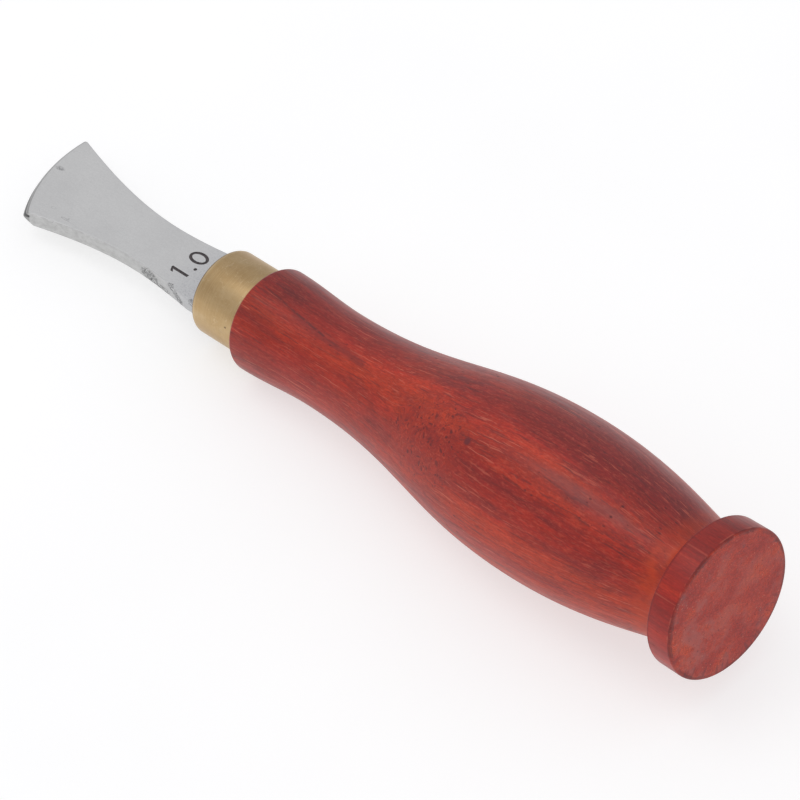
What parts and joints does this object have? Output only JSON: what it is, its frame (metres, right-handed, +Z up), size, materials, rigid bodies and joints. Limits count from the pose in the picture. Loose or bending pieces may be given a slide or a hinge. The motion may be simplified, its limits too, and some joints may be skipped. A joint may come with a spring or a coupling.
{
  "type": "edge creaser",
  "caption": "Hand edge creaser: a fan-shaped steel blade with a grooved oblique edge, a brass ferrule and a turned hardwood handle with a disc pommel.",
  "frame": {"origin": "centre of the bounding box's bottom face: the tool lies as it rests on a bench, on the belly of the handle and on its front shoulder", "axes": "+X along the tool toward the butt of the handle, the blade toward -X and the nose turned down by 4.8 degrees; +Y across the blade's flat, which is level from side to side; +Z up"},
  "size_m": [0.1508, 0.0266, 0.0286],
  "materials": {
    "rosewood": "satin oiled, deep red with fine streaks",
    "brass": "satin, turned",
    "steel": "fine satin",
    "cured_resin": "clear amber, rough where it was poured"
  },
  "bodies": {
    "root": {"handle": "rosewood", "ferrule": "brass", "blade": "steel", "tang_resin": "cured_resin"}
  },
  "joints": []
}
